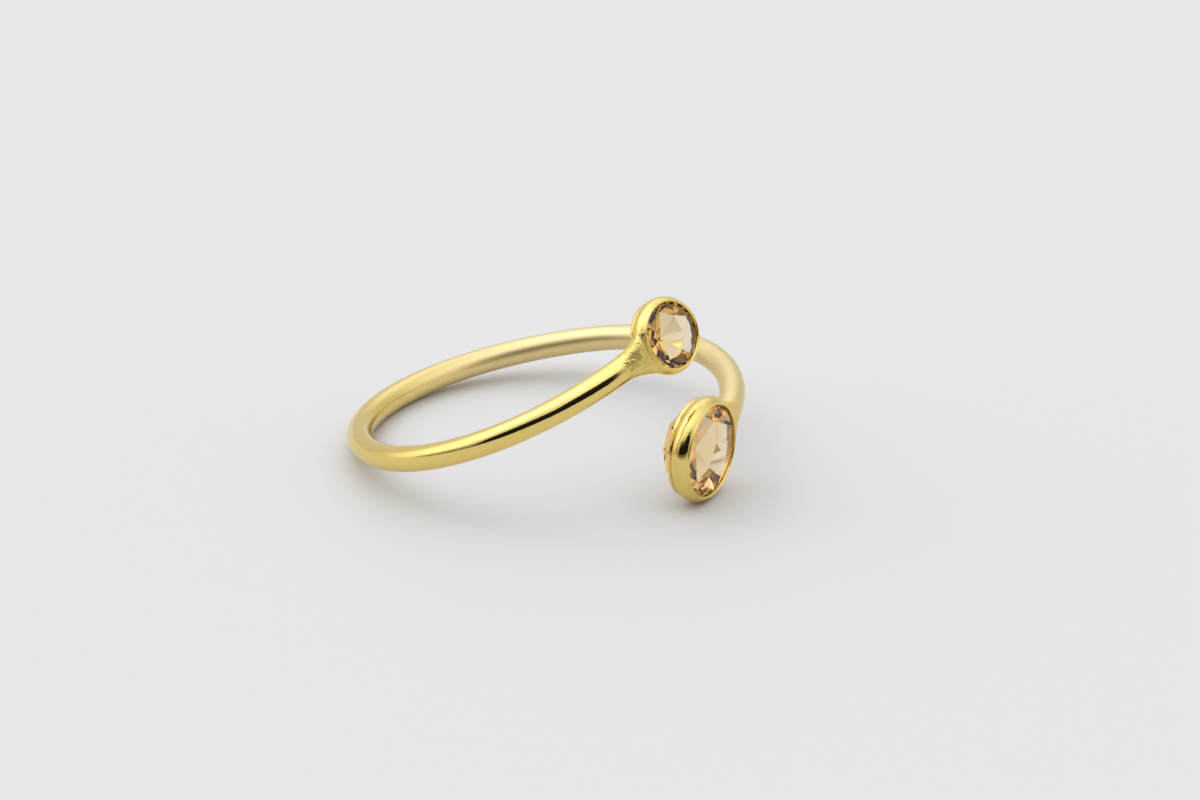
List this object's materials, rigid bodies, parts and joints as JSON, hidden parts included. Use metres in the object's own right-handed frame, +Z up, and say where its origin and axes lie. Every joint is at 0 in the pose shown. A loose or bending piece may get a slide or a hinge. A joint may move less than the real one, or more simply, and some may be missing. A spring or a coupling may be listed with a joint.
{
  "type": "open bypass infinity ring",
  "caption": "Slim open finger ring of round gold wire whose ends pass each other, each ending in a round faceted stone in a closed bezel setting.",
  "frame": {"origin": "on the surface that the ring rests on, under the middle of its outline", "axes": "+Z up from that surface, +X to the side that the two stones are on, +Y towards the round back of the band as seen from the front"},
  "size_m": [0.0184, 0.0186, 0.0101],
  "materials": {
    "gold": "polished, gold plated, grainy at the solder",
    "stone": "faceted and polished, pale champagne"
  },
  "bodies": {
    "root": {"band": "gold", "small_stone": "stone", "large_stone": "stone"}
  },
  "joints": []
}
